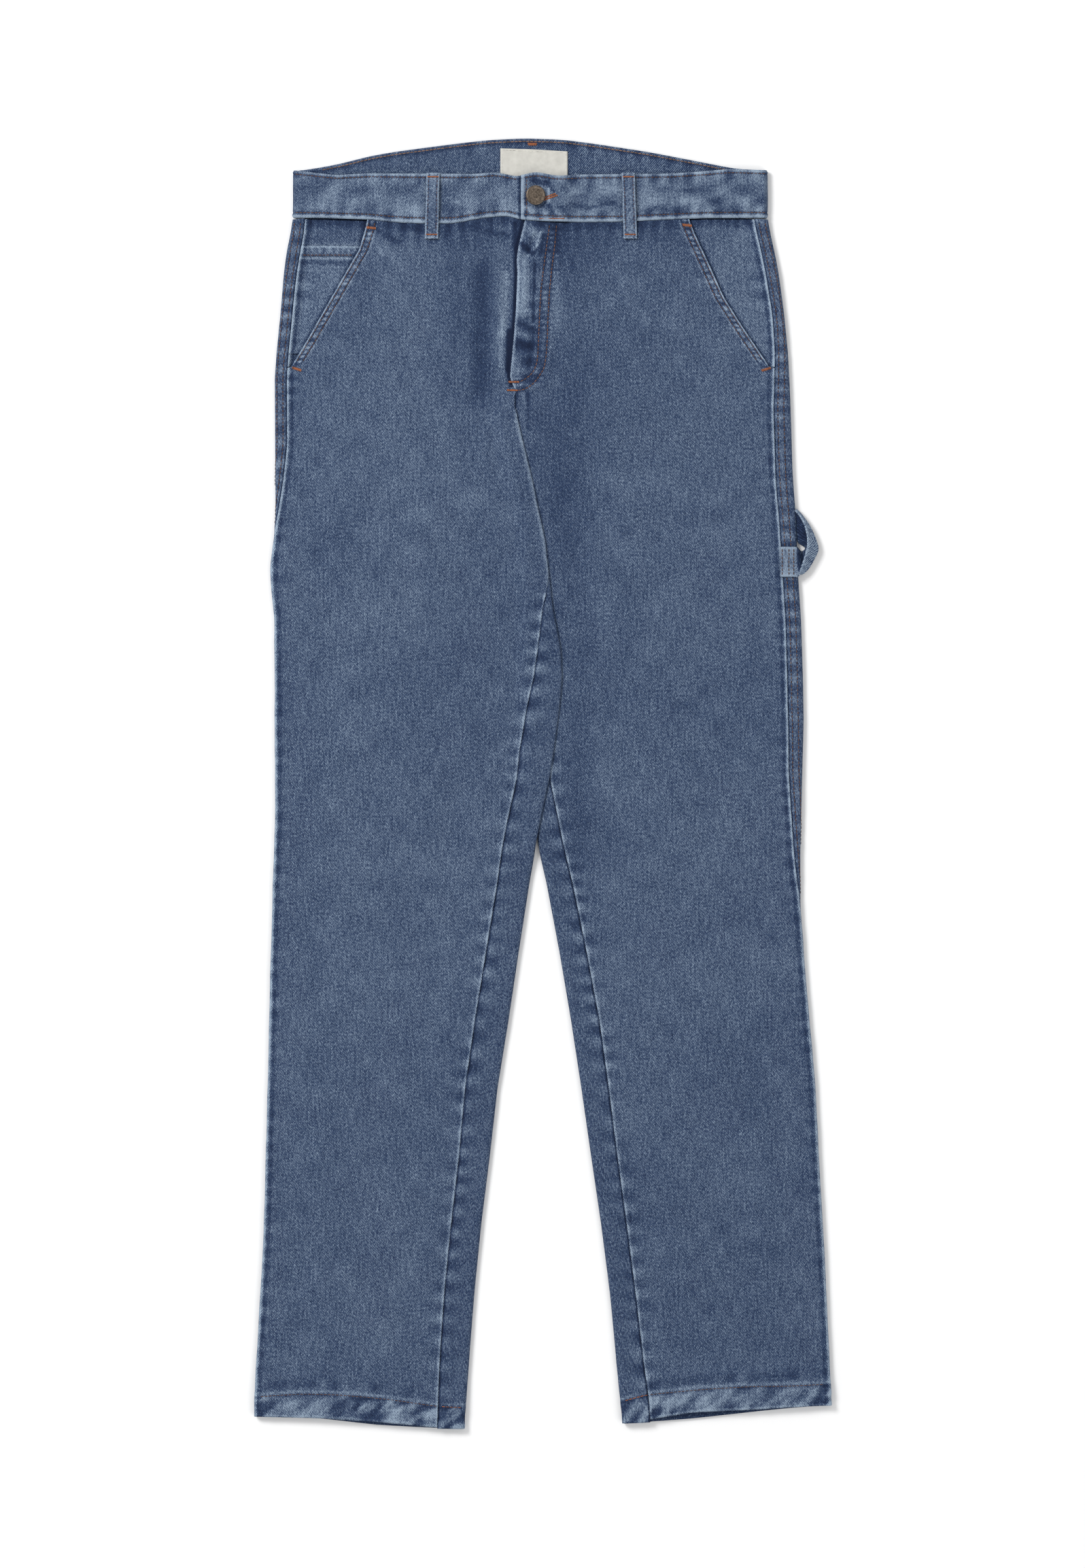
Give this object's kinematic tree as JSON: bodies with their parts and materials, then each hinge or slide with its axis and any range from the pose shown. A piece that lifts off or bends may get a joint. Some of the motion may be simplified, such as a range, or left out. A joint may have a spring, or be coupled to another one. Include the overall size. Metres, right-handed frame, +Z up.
{
  "type": "carpenter pants",
  "caption": "Blue denim work trousers lying flat, front up, with slanted pockets, belt loops and a hammer loop.",
  "frame": {"origin": "middle of the garment's length and width, on the surface that it lies on", "axes": "+Z up from the surface, +Y from the hems to the waist, +X towards the wearer's left leg"},
  "size_m": [0.496, 1.111, 0.0165],
  "materials": {
    "front_right": "worn cotton twill",
    "front_left": "worn cotton twill",
    "back_right": "worn cotton twill",
    "back_left": "worn cotton twill",
    "pocket_facing_right": "worn cotton twill",
    "pocket_facing_left": "worn cotton twill",
    "coin_pocket": "worn cotton twill",
    "waistband": "worn cotton twill",
    "belt_loop_right": "worn cotton twill",
    "belt_loop_left": "worn cotton twill",
    "hammer_loop": "worn cotton twill",
    "button": "dark antique",
    "label": "plain woven"
  },
  "bodies": {
    "root": {"front_right": "front_right", "front_left": "front_left", "back_right": "back_right", "back_left": "back_left", "pocket_facing_right": "pocket_facing_right", "pocket_facing_left": "pocket_facing_left", "coin_pocket": "coin_pocket", "waistband": "waistband", "belt_loop_right": "belt_loop_right", "belt_loop_left": "belt_loop_left", "hammer_loop": "hammer_loop", "button": "button", "label": "label"}
  },
  "joints": []
}
